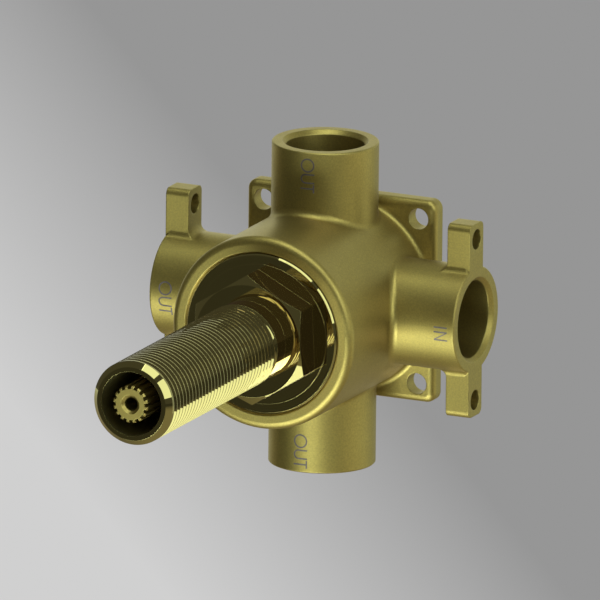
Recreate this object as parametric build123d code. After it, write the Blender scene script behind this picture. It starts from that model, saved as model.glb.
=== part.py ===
from build123d import *
from math import cos, radians, sin, sqrt, tan
import os

# Concealed diverter valve: one inlet on the right, outlets at the top, the left and the
# bottom, a square flange at the back and a threaded sleeve with a splined spindle in front.
# Origin: centre of the flange's back face, which lies on the wall plane.
# +Z up, the sleeve points along -Y, the inlet along +X. Millimetres.

# Clearances and limits that more than one piece uses
fillet_share = 0.45
thread_gap = 0.05
running_gap = 0.05
seal_gap = 0.04
disc_film = 0.02
loose_gap = 0.2

# Four radial ports, each bored at the tapping size of a half inch pipe thread
port_diameter = 26.0
port_wall_gap = 0.5
port_reach_side = 40.5
port_reach_upright = 40.0
port_bore_diameter = 19.0
port_bore_depth = 14.0
port_mouth_chamfer = 1.0
port_edge_chamfer = 0.25
port_root_radius = 1.6
waterway_diameter = 11.0
waterway_end_margin = 0.5
port_axis_y = -(port_diameter / 2 + port_wall_gap)
pick_tolerance = 0.01

# Flow holes from the cartridge seat to the ports: one in the middle, three round it
centre_hole_diameter = 7.0
outlet_angles = {"top": 90.0, "left": 180.0, "bottom": 270.0}

# Cartridge, in the order in which it stacks up from its seat towards the front
cartridge_gap = 0.4
base_flange_thickness = 1.8
base_spigot_height = 1.8
gasket_thickness = 1.4
fixed_disc_thickness = 3.4
moving_disc_thickness = 4.0
carrier_thickness = 3.2
shell_front_thickness = 2.2
shell_wall = 2.3
slip_ring_thickness = 0.8

# Barrel of the body, bored from the front for the cartridge and the bonnet
mouth_diameter = 40.0
barrel_wall = 4.0
seat_wall = 4.0
rim_radius = 1.8
mouth_bevel = 0.45
collar_recess = 0.65
barrel_diameter = mouth_diameter + 2 * barrel_wall

# Square mounting flange with rounded corners and a screw hole in each
flange_thickness = 4.0
flange_screw_room = 5.13
flange_margin = 4.6
flange_hole_diameter = 5.2
flange_corner_radius = 2.4
flange_edge_radius = 1.6
flange_root_radius = 1.3
flange_hole_pitch = (barrel_diameter + 2 * flange_screw_room) / sqrt(2)
flange_width = flange_hole_pitch + 2 * flange_margin

# Ears above and below the ends of the two side ports
ear_width = 7.6
ear_thickness = 6.0
ear_hole_diameter = 5.0
ear_hole_room = 7.06
ear_tip_margin = 4.0
ear_corner_radius = 1.6
ear_root_radius = 1.8
ear_hole_reach = port_diameter / 2 + ear_hole_room
ear_reach = ear_hole_reach + ear_tip_margin

# Bonnet: screwed collar, hexagon and threaded sleeve, turned in one piece
bonnet_thread_length = 4.65
bonnet_ring_room = 2.4
bonnet_ring_section = 2.05
collar_chamfer = 0.65
washer_face_diameter = 34.8
washer_face_height = 0.45
hex_across_flats = 28.0
hex_height = 8.2
hex_turn = 3.0
hex_face_margin = 0.18
hex_chamfer_angle = 30.0
sleeve_thread_diameter = 20.955
sleeve_length = 67.1
sleeve_bore_diameter = 16.0
sleeve_end_chamfer = 1.65
neck_length = 4.7
neck_depth = 0.33

# Spindle: splined end, shaft, sealing land with two ring grooves, collar and tang
spline_teeth = 16
spline_diameter = 9.3
spline_root_diameter = 7.7
spline_gap_width = 0.9
spline_length = 20.0
spline_phase = -7.7
spindle_proud = 0.65
spindle_tip_chamfer = 0.35
screw_hole_diameter = 3.4
screw_hole_depth = 12.0
drill_point_angle = 118.0
countersink_diameter = 4.84
land_diameter = 11.9
land_length = 24.0
ring_groove_depth = 1.4
ring_groove_width = 2.1
ring_groove_places = (0.35, 0.7)
spindle_collar_diameter = 16.0
spindle_collar_thickness = 3.0
thrust_washer_thickness = 0.8
clip_thickness = 1.0
clip_groove_depth = 0.75
clip_width = 3.0
clip_mouth_angle = 70.0
tang_across_flats = 6.0
tang_length = 6.2

# Disc carrier and its stop: the lug sweeps half a turn between the ends of the stop block
hub_diameter = 14.0
hub_height = 6.0
socket_floor = 1.0
stop_lug_angle = 20.0
stop_lug_height = 1.7
stop_slack_angle = 0.4
turn_each_way = 90.0
drive_peg_diameter = 3.0
drive_peg_height = 1.5
drive_peg_inset = 2.0
channel_side_gap = 0.2
channel_depth = 2.0
disc_rim = 0.9
disc_shell_gap = 0.5
stop_block_gap = 0.3

# Rings and keys of the cartridge
key_radius = 1.4
gasket_margin = 1.3
gasket_side_room = 1.8
seal_width = 1.4
seal_height = 1.5
seal_offset = 0.4
seal_spacing = 0.7
ring_rounding_share = 0.3
shell_ring_section = 1.65
shell_ring_width = 2.2
locating_pin_diameter = 3.0
locating_pin_length = 2.5
locating_pin_margin = 4.6
locating_pin_angles = (45.0, -45.0)

# Places along the valve's axis, worked out from the wall plane forwards
seat_y = port_axis_y - waterway_diameter / 2 - seat_wall
base_step_y = seat_y - base_flange_thickness
base_front_y = base_step_y - base_spigot_height
fixed_disc_back_y = base_front_y - gasket_thickness
fixed_disc_front_y = fixed_disc_back_y - fixed_disc_thickness
moving_disc_back_y = fixed_disc_front_y - disc_film
moving_disc_front_y = moving_disc_back_y - moving_disc_thickness
carrier_front_y = moving_disc_front_y - carrier_thickness
shell_inside_y = carrier_front_y - loose_gap
shell_front_y = shell_inside_y - shell_front_thickness
bonnet_back_y = shell_front_y - slip_ring_thickness
thread_back_y = bonnet_back_y - bonnet_ring_room
collar_front_y = thread_back_y - bonnet_thread_length
mouth_y = collar_front_y - collar_recess
washer_face_y = collar_front_y - washer_face_height
hex_front_y = washer_face_y - hex_height
sleeve_front_y = hex_front_y - sleeve_length
hub_front_y = carrier_front_y - hub_height
spindle_collar_back_y = hub_front_y - (tang_length - hub_height + socket_floor + loose_gap)
spindle_collar_front_y = spindle_collar_back_y - spindle_collar_thickness
thrust_face_y = spindle_collar_front_y - running_gap - thrust_washer_thickness
land_front_y = spindle_collar_front_y - land_length
bearing_front_y = land_front_y - running_gap
clip_back_y = bearing_front_y - running_gap
spindle_tip_y = sleeve_front_y - spindle_proud

# Radii that several pieces share
mouth_r = mouth_diameter / 2
port_r = port_diameter / 2
collar_r = mouth_r - thread_gap
shell_r = mouth_r - cartridge_gap
shell_inside_r = shell_r - shell_wall
outlet_holes_outer_r = shell_inside_r - gasket_side_room - gasket_margin
seals_room = 2 * (seal_offset + seal_width) + seal_spacing
outlet_hole_diameter = outlet_holes_outer_r - centre_hole_diameter / 2 - seals_room
outlet_hole_reach = outlet_holes_outer_r - outlet_hole_diameter / 2
drive_peg_reach = outlet_hole_reach - drive_peg_inset
locating_pin_reach = shell_r - locating_pin_margin
bearing_r = land_diameter / 2 + running_gap
counterbore_r = max(spindle_collar_diameter, hub_diameter) / 2 + cartridge_gap
channel_r = outlet_hole_diameter / 2 + channel_side_gap
moving_disc_r = outlet_hole_reach + channel_r + disc_rim
fixed_disc_r = shell_inside_r - disc_shell_gap
stop_block_r = moving_disc_r + stop_block_gap
clip_groove_r = spline_diameter / 2 - clip_groove_depth


def turned(*points):
    """A solid turned about the Y axis from a closed outline of (radius, y) points."""
    return revolve(make_face(Polyline(*points, close=True)), Axis.Y)


def disc(radius, back, front):
    """A plain cylinder on the Y axis between two places."""
    return turned((0, back), (radius, back), (radius, front), (0, front))


def ring(inner, outer, back, front):
    """A flat ring on the Y axis between two places."""
    return turned((inner, back), (outer, back), (outer, front), (inner, front))


def rounded_ring(inner, outer, back, front):
    """A moulded ring on the Y axis, its section rounded as far as its smaller side allows."""
    width = outer - inner
    height = back - front
    section = RectangleRounded(width, height, min(width, height) * ring_rounding_share)
    return revolve(Pos((inner + outer) / 2, (back + front) / 2) * section, Axis.Y)


def sector(inner, outer, back, front, middle_angle, span_angle):
    """A piece of a ring, centred on an angle counted from +X towards +Z."""
    corners = ((inner, back), (outer, back), (outer, front), (inner, front))
    face = make_face(Polyline(*corners, close=True))
    start = Rot(0, -(middle_angle - span_angle / 2), 0)
    return start * revolve(face, -Axis.Y, span_angle)


def radial(length, radius, angle, start=0.0):
    """A cylinder from the valve's axis out along a port, at an angle from +X towards +Z."""
    way = (cos(radians(angle)), 0, sin(radians(angle)))
    origin = (way[0] * start, port_axis_y, way[2] * start)
    place = Plane(origin=origin, z_dir=way)
    return place * Cylinder(radius, length - start, align=(Align.CENTER, Align.CENTER, Align.MIN))


def off_axis(solid, reach, angle):
    """Moves a solid made on the Y axis out to a reach and angle."""
    return Pos(reach * cos(radians(angle)), 0, reach * sin(radians(angle))) * solid


def flow_holes(back, front, extra=0.0):
    """Cutters for the middle inlet hole and the three outlet holes."""
    holes = [disc(centre_hole_diameter / 2 + extra, back, front)]
    outlet = disc(outlet_hole_diameter / 2 + extra, back, front)
    for angle in outlet_angles.values():
        holes.append(off_axis(outlet, outlet_hole_reach, angle))
    return holes


ports = {"inlet": (0.0, port_reach_side), "top": (90.0, port_reach_upright),
         "left": (180.0, port_reach_side), "bottom": (270.0, port_reach_upright)}


def ear(side, end):
    """One ear of a side port, its end face flush with the port's."""
    block = Box(ear_thickness, ear_width, ear_reach, align=(Align.MAX, Align.CENTER, Align.MIN))
    tip_edges = block.faces().sort_by(Axis.Z)[-1].edges().filter_by(Axis.X)
    block = fillet(tip_edges, min(ear_corner_radius, ear_width * fillet_share))
    block = Pos(port_reach_side, port_axis_y, 0) * block
    if end < 0:
        block = mirror(block, Plane.XY)
    if side < 0:
        block = mirror(block, Plane.YZ)
    return block


def body_outside():
    """Barrel, ports, flange and ears before anything is bored."""
    barrel_r = barrel_diameter / 2
    core = disc(barrel_r, 0, mouth_y)
    for angle, reach in ports.values():
        core = core + radial(reach, port_r, angle)
    saddles = [edge for edge in core.edges() if edge.geom_type == GeomType.BSPLINE]
    core = fillet(saddles, port_root_radius)
    rim = core.faces().sort_by(Axis.Y)[0].edges()
    core = fillet(rim, min(rim_radius, barrel_wall * fillet_share))
    plate = Pos(0, -flange_thickness / 2, 0) * Box(flange_width, flange_thickness, flange_width)
    plate = fillet(plate.edges().filter_by(Axis.Y), flange_corner_radius)
    front_edges = plate.faces().sort_by(Axis.Y)[0].edges()
    plate = fillet(front_edges, min(flange_edge_radius, flange_thickness * fillet_share))
    body = core + plate + flange_root(barrel_r)
    for angle, reach in ports.values():
        body = chamfer(port_end_edges(body, angle, reach), port_edge_chamfer)
    return body


def flange_root(barrel_r):
    """A ring that fills the corner between barrel and flange, hollow-rounded."""
    front_y = -flange_thickness
    middle_y = front_y / 2
    arc_y = front_y - flange_root_radius
    root_r = barrel_r + flange_root_radius
    inner_r = barrel_r / 2
    outline = Polyline((root_r, front_y), (root_r, middle_y), (inner_r, middle_y), (inner_r, arc_y),
                       (barrel_r, arc_y))
    outline = outline + RadiusArc((barrel_r, arc_y), (root_r, front_y), flange_root_radius)
    return revolve(make_face(outline), Axis.Y)


def port_end_edges(body, angle, reach):
    """The outer edges of the end face of one port."""
    found = []
    for edge in body.edges().filter_by(GeomType.CIRCLE):
        middle = edge.center()
        distance = middle.X * cos(radians(angle)) + middle.Z * sin(radians(angle))
        if abs(edge.radius - port_r) < pick_tolerance and abs(distance - reach) < pick_tolerance:
            found.append(edge)
    return found


def add_ears(body):
    """Joins the four ears to the side ports and rounds their roots."""
    for side in (1, -1):
        for end in (1, -1):
            body = body + ear(side, end)
    inner_x = port_reach_side - ear_thickness
    root_z = sqrt(port_r ** 2 - (ear_width / 2) ** 2)
    roots = []
    longest = ear_width + ear_thickness
    for edge in body.edges():
        middle = edge.center()
        near_end = inner_x - pick_tolerance < abs(middle.X) < port_reach_side - pick_tolerance
        level = root_z - pick_tolerance < abs(middle.Z) < port_r + pick_tolerance
        if near_end and level and edge.length < longest:
            roots.append(edge)
    return fillet(roots, min(ear_root_radius, ear_thickness * fillet_share))


def valve_body():
    body = add_ears(body_outside())
    cuts = []
    bore_r = port_bore_diameter / 2
    blind_end = outlet_hole_reach - outlet_hole_diameter / 2 - waterway_end_margin
    for name, (angle, reach) in ports.items():
        socket_floor_reach = reach - port_bore_depth
        inner_end = blind_end
        if name == "inlet":
            inner_end = -(centre_hole_diameter / 2 + waterway_end_margin)
        cuts.append(radial(reach, bore_r, angle, socket_floor_reach))
        cuts.append(radial(reach, waterway_diameter / 2, angle, inner_end))
        cone = Cone(bore_r, bore_r + port_mouth_chamfer, port_mouth_chamfer,
                    align=(Align.CENTER, Align.CENTER, Align.MAX))
        way = (cos(radians(angle)), 0, sin(radians(angle)))
        mouth = Plane(origin=(way[0] * reach, port_axis_y, way[2] * reach), z_dir=way)
        cuts.append(mouth * cone)
    cuts.append(disc(mouth_r, seat_y, mouth_y))
    cuts.append(turned((0, mouth_y + mouth_bevel), (mouth_r, mouth_y + mouth_bevel),
                       (mouth_r + mouth_bevel, mouth_y), (0, mouth_y)))
    cuts.extend(flow_holes(port_axis_y, seat_y))
    pin_hole_back_y = seat_y + locating_pin_length + loose_gap
    pin_hole = disc(locating_pin_diameter / 2 + running_gap, pin_hole_back_y, seat_y)
    for angle in locating_pin_angles:
        cuts.append(off_axis(pin_hole, locating_pin_reach, angle))
    screw_hole = disc(flange_hole_diameter / 2, 0, -flange_thickness)
    for across in (-1, 1):
        for up in (-1, 1):
            cuts.append(Pos(across * flange_hole_pitch / 2, 0, up * flange_hole_pitch / 2) * screw_hole)
    ear_hole = Plane.YZ * Cylinder(ear_hole_diameter / 2, ear_thickness,
                                   align=(Align.CENTER, Align.CENTER, Align.MAX))
    for up in (-1, 1):
        place = Pos(port_reach_side, port_axis_y, up * ear_hole_reach) * ear_hole
        cuts.append(place)
        cuts.append(mirror(place, Plane.YZ))
    return body - cuts


def bonnet():
    thread_r = sleeve_thread_diameter / 2
    neck_r = thread_r - neck_depth
    neck_front_y = hex_front_y - neck_length
    bore_r = sleeve_bore_diameter / 2
    pilot_r = collar_r - bonnet_ring_section
    washer_r = washer_face_diameter / 2
    tube = turned(
        (counterbore_r, bonnet_back_y), (pilot_r, bonnet_back_y), (pilot_r, thread_back_y),
        (collar_r - collar_chamfer, thread_back_y), (collar_r, thread_back_y - collar_chamfer),
        (collar_r, collar_front_y + collar_chamfer), (collar_r - collar_chamfer, collar_front_y),
        (washer_r, collar_front_y), (washer_r - washer_face_height / 2, washer_face_y),
        (neck_r, washer_face_y), (neck_r, neck_front_y), (thread_r, neck_front_y - neck_depth),
        (thread_r, sleeve_front_y + sleeve_end_chamfer), (thread_r - sleeve_end_chamfer, sleeve_front_y),
        (bore_r, sleeve_front_y), (bore_r, bearing_front_y), (bearing_r, bearing_front_y),
        (bearing_r, thrust_face_y), (counterbore_r, thrust_face_y))
    corner_r = hex_across_flats / 2 / cos(radians(30))
    face_r = hex_across_flats / 2 - hex_face_margin
    blank_r = corner_r + hex_face_margin
    chamfer_back_y = hex_front_y + (blank_r - face_r) * tan(radians(hex_chamfer_angle))
    core_r = (neck_r + bore_r) / 2
    blank = turned((core_r, washer_face_y), (blank_r, washer_face_y), (blank_r, chamfer_back_y),
                   (face_r, hex_front_y), (core_r, hex_front_y))
    prism = extrude(Plane.XZ * RegularPolygon(corner_r, 6, rotation=90), 2 * abs(sleeve_front_y), both=True)
    hexagon = (Rot(0, -hex_turn, 0) * prism) & blank
    return tube + hexagon


def spindle():
    tip_r = spline_diameter / 2
    land_r = land_diameter / 2
    groove_r = land_r - ring_groove_depth
    collar_rim_r = spindle_collar_diameter / 2
    grooves = []
    for centre in ring_groove_ys():
        back = centre + ring_groove_width / 2
        front = centre - ring_groove_width / 2
        grooves.extend([(land_r, back), (groove_r, back), (groove_r, front), (land_r, front)])
    shaft = turned(
        (0, spindle_collar_back_y), (collar_rim_r, spindle_collar_back_y),
        (collar_rim_r, spindle_collar_front_y), (land_r, spindle_collar_front_y),
        *grooves, (land_r, land_front_y), (tip_r, land_front_y),
        (tip_r, clip_back_y + running_gap), (clip_groove_r, clip_back_y + running_gap),
        (clip_groove_r, clip_back_y - clip_thickness - running_gap),
        (tip_r, clip_back_y - clip_thickness - running_gap),
        (tip_r, spindle_tip_y + spindle_tip_chamfer), (tip_r - spindle_tip_chamfer, spindle_tip_y),
        (0, spindle_tip_y))
    tang = disc(tip_r, spindle_collar_back_y + tang_length, spindle_collar_back_y)
    tang = tang & Pos(0, spindle_collar_back_y + tang_length / 2, 0) * Box(
        tang_across_flats, tang_length, spline_diameter)
    flute = Pos((spline_root_diameter + spline_diameter) / 2, spindle_tip_y + spline_length / 2, 0) * Box(
        spline_diameter, spline_length, spline_gap_width)
    tooth_angle = 360.0 / spline_teeth
    gap_angles = [spline_phase + (tooth + 0.5) * tooth_angle for tooth in range(spline_teeth)]
    flutes = [Rot(0, -angle, 0) * flute for angle in gap_angles]
    screw_r = screw_hole_diameter / 2
    sink_r = countersink_diameter / 2
    hole_end_y = spindle_tip_y + screw_hole_depth
    drill_point = screw_r * tan(radians(90 - drill_point_angle / 2))
    hole = turned((0, spindle_tip_y), (sink_r, spindle_tip_y), (screw_r, spindle_tip_y + sink_r - screw_r),
                  (screw_r, hole_end_y), (0, hole_end_y + drill_point))
    return shaft + tang - flutes - hole


def ring_groove_ys():
    """Middle of each ring groove on the sealing land, from the collar forwards."""
    return [spindle_collar_front_y - land_length * share for share in ring_groove_places]


def spindle_o_ring(centre):
    inner = land_diameter / 2 - ring_groove_depth
    half = ring_groove_width / 2
    return rounded_ring(inner, bearing_r - seal_gap, centre + half, centre - half)


def snap_ring():
    outer = clip_groove_r + clip_width
    front = clip_back_y - clip_thickness
    whole = ring(clip_groove_r, outer, clip_back_y, front)
    mouth = sector(clip_groove_r / 2, outer + clip_width, clip_back_y, front, 0, clip_mouth_angle)
    return whole - mouth


def thrust_washer():
    back = thrust_face_y + thrust_washer_thickness
    return ring(bearing_r, counterbore_r - running_gap, back, thrust_face_y)


def bonnet_o_ring():
    pilot_r = collar_r - bonnet_ring_section
    return rounded_ring(pilot_r, collar_r, bonnet_back_y - running_gap, thread_back_y)


def slip_ring():
    return ring(counterbore_r, shell_r, shell_front_y, bonnet_back_y)


def disc_carrier():
    plate = disc(moving_disc_r, moving_disc_front_y, carrier_front_y)
    hub = disc(hub_diameter / 2, carrier_front_y, hub_front_y)
    lug = sector(moving_disc_r - stop_lug_height, moving_disc_r + stop_lug_height, moving_disc_front_y,
                 carrier_front_y, 0, stop_lug_angle)
    peg = disc(drive_peg_diameter / 2, moving_disc_front_y + drive_peg_height, moving_disc_front_y)
    pegs = [off_axis(peg, drive_peg_reach, angle) for angle in (90, 270)]
    socket_back_y = spindle_collar_back_y + tang_length + loose_gap
    socket = disc(spline_diameter / 2 + running_gap, socket_back_y, hub_front_y)
    flats = Pos(0, (socket_back_y + hub_front_y) / 2, 0) * Box(
        tang_across_flats + 2 * running_gap, socket_back_y - hub_front_y, spline_diameter * 2)
    return plate + hub + lug + pegs - (socket & flats)


def moving_disc():
    blank = disc(moving_disc_r, moving_disc_back_y, moving_disc_front_y)
    channel_front_y = moving_disc_back_y - channel_depth
    middle = disc(channel_r, moving_disc_back_y, channel_front_y)
    outer = off_axis(middle, outlet_hole_reach, outlet_angles["left"])
    bridge = Pos(-outlet_hole_reach / 2, (moving_disc_back_y + channel_front_y) / 2, 0) * Box(
        outlet_hole_reach, channel_depth, 2 * channel_r)
    peg_hole_back_y = moving_disc_front_y + drive_peg_height + loose_gap
    peg_hole = disc(drive_peg_diameter / 2 + running_gap, peg_hole_back_y, moving_disc_front_y)
    peg_holes = [off_axis(peg_hole, drive_peg_reach, angle) for angle in (90, 270)]
    return blank - [middle, outer, bridge] - peg_holes


def fixed_disc():
    blank = disc(fixed_disc_r, fixed_disc_back_y, fixed_disc_front_y)
    notch = disc(key_radius + loose_gap, fixed_disc_back_y, fixed_disc_front_y)
    notches = [off_axis(notch, shell_inside_r, angle) for angle in (0, 180)]
    return blank - flow_holes(fixed_disc_back_y, fixed_disc_front_y) - notches


def disc_gasket():
    outer = outlet_hole_reach + outlet_hole_diameter / 2 + gasket_margin
    web = disc(outer, base_front_y, fixed_disc_back_y)
    return web - flow_holes(base_front_y, fixed_disc_back_y)


def cartridge_base():
    spigot_r = shell_inside_r - loose_gap / 2
    base = turned((0, seat_y), (shell_r, seat_y), (shell_r, base_step_y), (spigot_r, base_step_y),
                  (spigot_r, base_front_y), (0, base_front_y))
    pin = disc(locating_pin_diameter / 2, seat_y + locating_pin_length, seat_y)
    pins = [off_axis(pin, locating_pin_reach, angle) for angle in locating_pin_angles]
    base = base + pins - flow_holes(seat_y, base_front_y)
    for hole_r, reach, angle in seal_places().values():
        groove = ring(hole_r + seal_offset, hole_r + seal_offset + seal_width, seat_y, seat_y - seal_height)
        base = base - off_axis(groove, reach, angle)
    return base


def seal_places():
    """Each base seal: the radius of the hole it rings, and where that hole is."""
    places = {"inlet_seal": (centre_hole_diameter / 2, 0.0, 0.0)}
    for name, angle in outlet_angles.items():
        places[name + "_outlet_seal"] = (outlet_hole_diameter / 2, outlet_hole_reach, angle)
    return places


def base_seal(hole_r, reach, angle):
    inner = hole_r + seal_offset
    return off_axis(rounded_ring(inner, inner + seal_width, seat_y, seat_y - seal_height), reach, angle)


def shell_ring_back_y():
    return fixed_disc_front_y + (fixed_disc_thickness - shell_ring_width) / 2


def cartridge_shell():
    hole_r = hub_diameter / 2 + loose_gap
    groove_r = collar_r - shell_ring_section
    ring_back = shell_ring_back_y() + running_gap
    ring_front = shell_ring_back_y() - shell_ring_width - running_gap
    shell = turned(
        (hole_r, shell_inside_y), (shell_inside_r, shell_inside_y), (shell_inside_r, base_step_y),
        (shell_r, base_step_y), (shell_r, ring_back), (groove_r, ring_back), (groove_r, ring_front),
        (shell_r, ring_front), (shell_r, shell_front_y), (hole_r, shell_front_y))
    block_span = 360.0 - 2 * turn_each_way - stop_lug_angle - 2 * stop_slack_angle
    block = sector(stop_block_r, shell_inside_r + shell_wall / 2, moving_disc_front_y, shell_inside_y,
                   180, block_span)
    key = disc(key_radius, fixed_disc_back_y, fixed_disc_front_y)
    wall = disc((shell_inside_r + groove_r) / 2, fixed_disc_back_y, fixed_disc_front_y)
    keys = [off_axis(key, shell_inside_r, angle) & wall for angle in (0, 180)]
    return shell + block + keys


def shell_o_ring():
    back = shell_ring_back_y()
    return rounded_ring(collar_r - shell_ring_section, collar_r, back, back - shell_ring_width)


nodes = {
    "valve_body": valve_body(),
    "bonnet": bonnet(),
    "bonnet_o_ring": bonnet_o_ring(),
    "slip_ring": slip_ring(),
    "thrust_washer": thrust_washer(),
    "spindle": spindle(),
    "snap_ring": snap_ring(),
    "disc_carrier": disc_carrier(),
    "moving_disc": moving_disc(),
    "fixed_disc": fixed_disc(),
    "disc_gasket": disc_gasket(),
    "cartridge_base": cartridge_base(),
    "cartridge_shell": cartridge_shell(),
    "shell_o_ring": shell_o_ring(),
}
rear_groove_y, front_groove_y = ring_groove_ys()
nodes["spindle_o_ring_rear"] = spindle_o_ring(rear_groove_y)
nodes["spindle_o_ring_front"] = spindle_o_ring(front_groove_y)
for seal_name, place in seal_places().items():
    nodes[seal_name] = base_seal(*place)

os.makedirs("parts", exist_ok=True)
for node_name, solid in nodes.items():
    solid.label = node_name
    export_step(solid, "parts/" + node_name + ".step")
    print(node_name, round(solid.volume, 1))
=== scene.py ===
# %% [markdown]
# A concealed diverter valve
#
# The real object is a forged brass body with four pipe ports, a polished brass bonnet screwed
# into its front, and a splined spindle inside the bonnet's long threaded sleeve. The pieces come
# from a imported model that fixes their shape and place. This script adds what makes them look
# real: finishes made of nodes, the fine thread, the marks beside the ports, a studio and a camera.

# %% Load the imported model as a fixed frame
import math
import bpy
import bmesh
from mathutils import Matrix, Vector


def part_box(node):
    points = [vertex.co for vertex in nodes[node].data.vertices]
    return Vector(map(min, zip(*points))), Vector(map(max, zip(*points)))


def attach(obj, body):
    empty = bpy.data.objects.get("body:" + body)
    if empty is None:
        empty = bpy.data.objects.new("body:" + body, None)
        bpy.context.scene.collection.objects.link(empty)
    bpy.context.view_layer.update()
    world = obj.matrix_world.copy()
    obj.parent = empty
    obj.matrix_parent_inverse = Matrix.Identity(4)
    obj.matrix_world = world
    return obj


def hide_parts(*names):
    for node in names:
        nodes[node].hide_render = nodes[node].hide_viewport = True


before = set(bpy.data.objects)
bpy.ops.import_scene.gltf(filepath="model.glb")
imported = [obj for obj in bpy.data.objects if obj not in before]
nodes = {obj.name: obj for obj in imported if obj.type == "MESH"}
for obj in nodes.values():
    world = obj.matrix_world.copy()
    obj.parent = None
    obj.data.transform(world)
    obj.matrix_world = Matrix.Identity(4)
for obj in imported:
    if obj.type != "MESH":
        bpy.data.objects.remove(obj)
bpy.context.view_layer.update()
mm = 0.001
print("pieces in the frame:", len(nodes))

# %% [markdown]
# The camera
#
# The photograph is taken from so far away that parallel edges stay parallel, so a camera with
# parallel rays fits it. It looks from the right of the sleeve and from slightly above. Its
# direction comes from an azimuth and an elevation, and a small roll leans the picture.

# %% Place the camera
view_azimuth = math.radians(24.598)
view_elevation = math.radians(14.691)
view_roll = math.radians(0.652)
picture_width = 145.09 * mm
ports_axis_y = -13.5
aim_right = -5.73 * mm
aim_up = 0.06 * mm
camera_distance = 0.9
# The camera sees as far as this, in metres, past the floor's far edge.
camera_reach = 20

to_camera = Vector((
    math.sin(view_azimuth) * math.cos(view_elevation),
    -math.cos(view_azimuth) * math.cos(view_elevation),
    math.sin(view_elevation),
))
level_right = Vector((math.cos(view_azimuth), math.sin(view_azimuth), 0))
level_up = to_camera.cross(level_right)
picture_right = level_right * math.cos(view_roll) + level_up * math.sin(view_roll)
picture_up = level_up * math.cos(view_roll) - level_right * math.sin(view_roll)


def facing(right, up, back):
    """The rotation whose local X, Y and Z point along three directions at right angles."""
    return Matrix((right, up, back)).transposed().to_euler()


camera_data = bpy.data.cameras.new("camera")
camera_data.type = "ORTHO"
camera_data.ortho_scale = picture_width
camera_data.clip_end = camera_reach
camera = bpy.data.objects.new("camera", camera_data)
bpy.context.scene.collection.objects.link(camera)
aim = Vector((0, ports_axis_y * mm, 0)) + picture_right * aim_right + picture_up * aim_up
camera.location = aim + to_camera * camera_distance
camera.rotation_euler = facing(picture_right, picture_up, to_camera)
bpy.context.scene.camera = camera
print("camera looks along", [round(part, 3) for part in -to_camera])

# %% [markdown]
# Colours as they are written
#
# Colours are easiest to judge as the 0 to 255 values of a screen, but nodes work in linear
# light. One helper turns the first into the second. The Standard view shows them unchanged.

# %% Set the view and define the colour helper
bpy.context.scene.view_settings.view_transform = "Standard"


def tone(red, green, blue):
    """A linear colour from screen values between 0 and 255, by the screen's standard curve."""
    linear = []
    for value in (red, green, blue):
        share = value / 255
        if share <= 0.04045:
            linear.append(share / 12.92)
        else:
            linear.append(((share + 0.055) / 1.055) ** 2.4)
    return (linear[0], linear[1], linear[2], 1)


print("mid grey in linear light:", [round(part, 3) for part in tone(128, 128, 128)])

# %% [markdown]
# The studio's world
#
# Polished metal shows whatever surrounds it, so the room matters as much as the lamps. A dark
# room with a few large soft boxes gives brass its contrast: deep olive where it sees the room,
# bright where it sees a box. The world is that dark room.

# %% Make the dark room
room_tone = tone(62, 56, 50)
world = bpy.data.worlds.new("dark_room")
world.use_nodes = True
world.node_tree.nodes["Background"].inputs["Color"].default_value = room_tone
world.node_tree.nodes["Background"].inputs["Strength"].default_value = 1.0
bpy.context.scene.world = world
print("room tone:", [round(part, 3) for part in room_tone[:3]])

# %% [markdown]
# Soft boxes
#
# A rectangular area lamp is a soft box: its shadow is soft, and polished brass mirrors its
# outline as a bright window. Each lamp is placed by the direction in which the valve sees it,
# and its brightness is given as the brightness of its face, because that is what metal mirrors.

# %% Define the soft box helper
lamp_centre = Vector((0, -40 * mm, 0))


def soft_box(name, azimuth, elevation, distance, width, height, brightness):
    """An area lamp that the valve sees at these angles, in degrees, and that faces the valve."""
    turn = math.radians(azimuth)
    lift = math.radians(elevation)
    outward = Vector((math.sin(turn) * math.cos(lift), -math.cos(turn) * math.cos(lift), math.sin(lift)))
    side = Vector((0, 0, 1)).cross(outward).normalized()
    lamp_data = bpy.data.lights.new(name, "AREA")
    lamp_data.shape = "RECTANGLE"
    lamp_data.size = width
    lamp_data.size_y = height
    lamp_data.energy = brightness * math.pi * width * height
    lamp = bpy.data.objects.new(name, lamp_data)
    bpy.context.scene.collection.objects.link(lamp)
    lamp.location = lamp_centre + outward * distance
    lamp.rotation_euler = facing(side, outward.cross(side), outward)
    lamp.visible_camera = False
    return lamp


# %% Hang the lamps
# All lamps are far away, so a reflection stays the same along the whole sleeve. After each name
# come azimuth, elevation, distance, width, height and brightness.
lamp_distance = 1.6
warm_light = (1.0, 0.95, 0.89)
windows = [
    soft_box("window_low", 58, 22, lamp_distance, 1.10, 1.00, 1.25),
    soft_box("window_top", 34, 60, lamp_distance, 1.28, 0.66, 1.30),
    soft_box("overhead", -40, 84, lamp_distance, 0.80, 0.80, 1.55),
    soft_box("front_low_core", -3, -33, lamp_distance, 0.70, 0.42, 5.00),
    soft_box("front_low", 0, -48, lamp_distance, 1.70, 1.20, 1.30),
]
fills = [
    soft_box("right_fill", 110, 5, lamp_distance, 1.80, 2.10, 0.26),
    soft_box("back_fill", 170, 40, lamp_distance, 2.30, 0.90, 0.15),
]
for lamp in fills:
    lamp.data.color = warm_light
print("lamps:", [lamp.name for lamp in windows + fills])

# %% [markdown]
# Helpers for nodes
#
# Every finish below is a small graph of nodes, and a few helpers keep the cells short. They add
# a node and fill in its numbers, work out a number, mix two colours, stretch a range, add noise,
# and start a node group with named inputs and outputs.

# %% Define the node helpers


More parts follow.
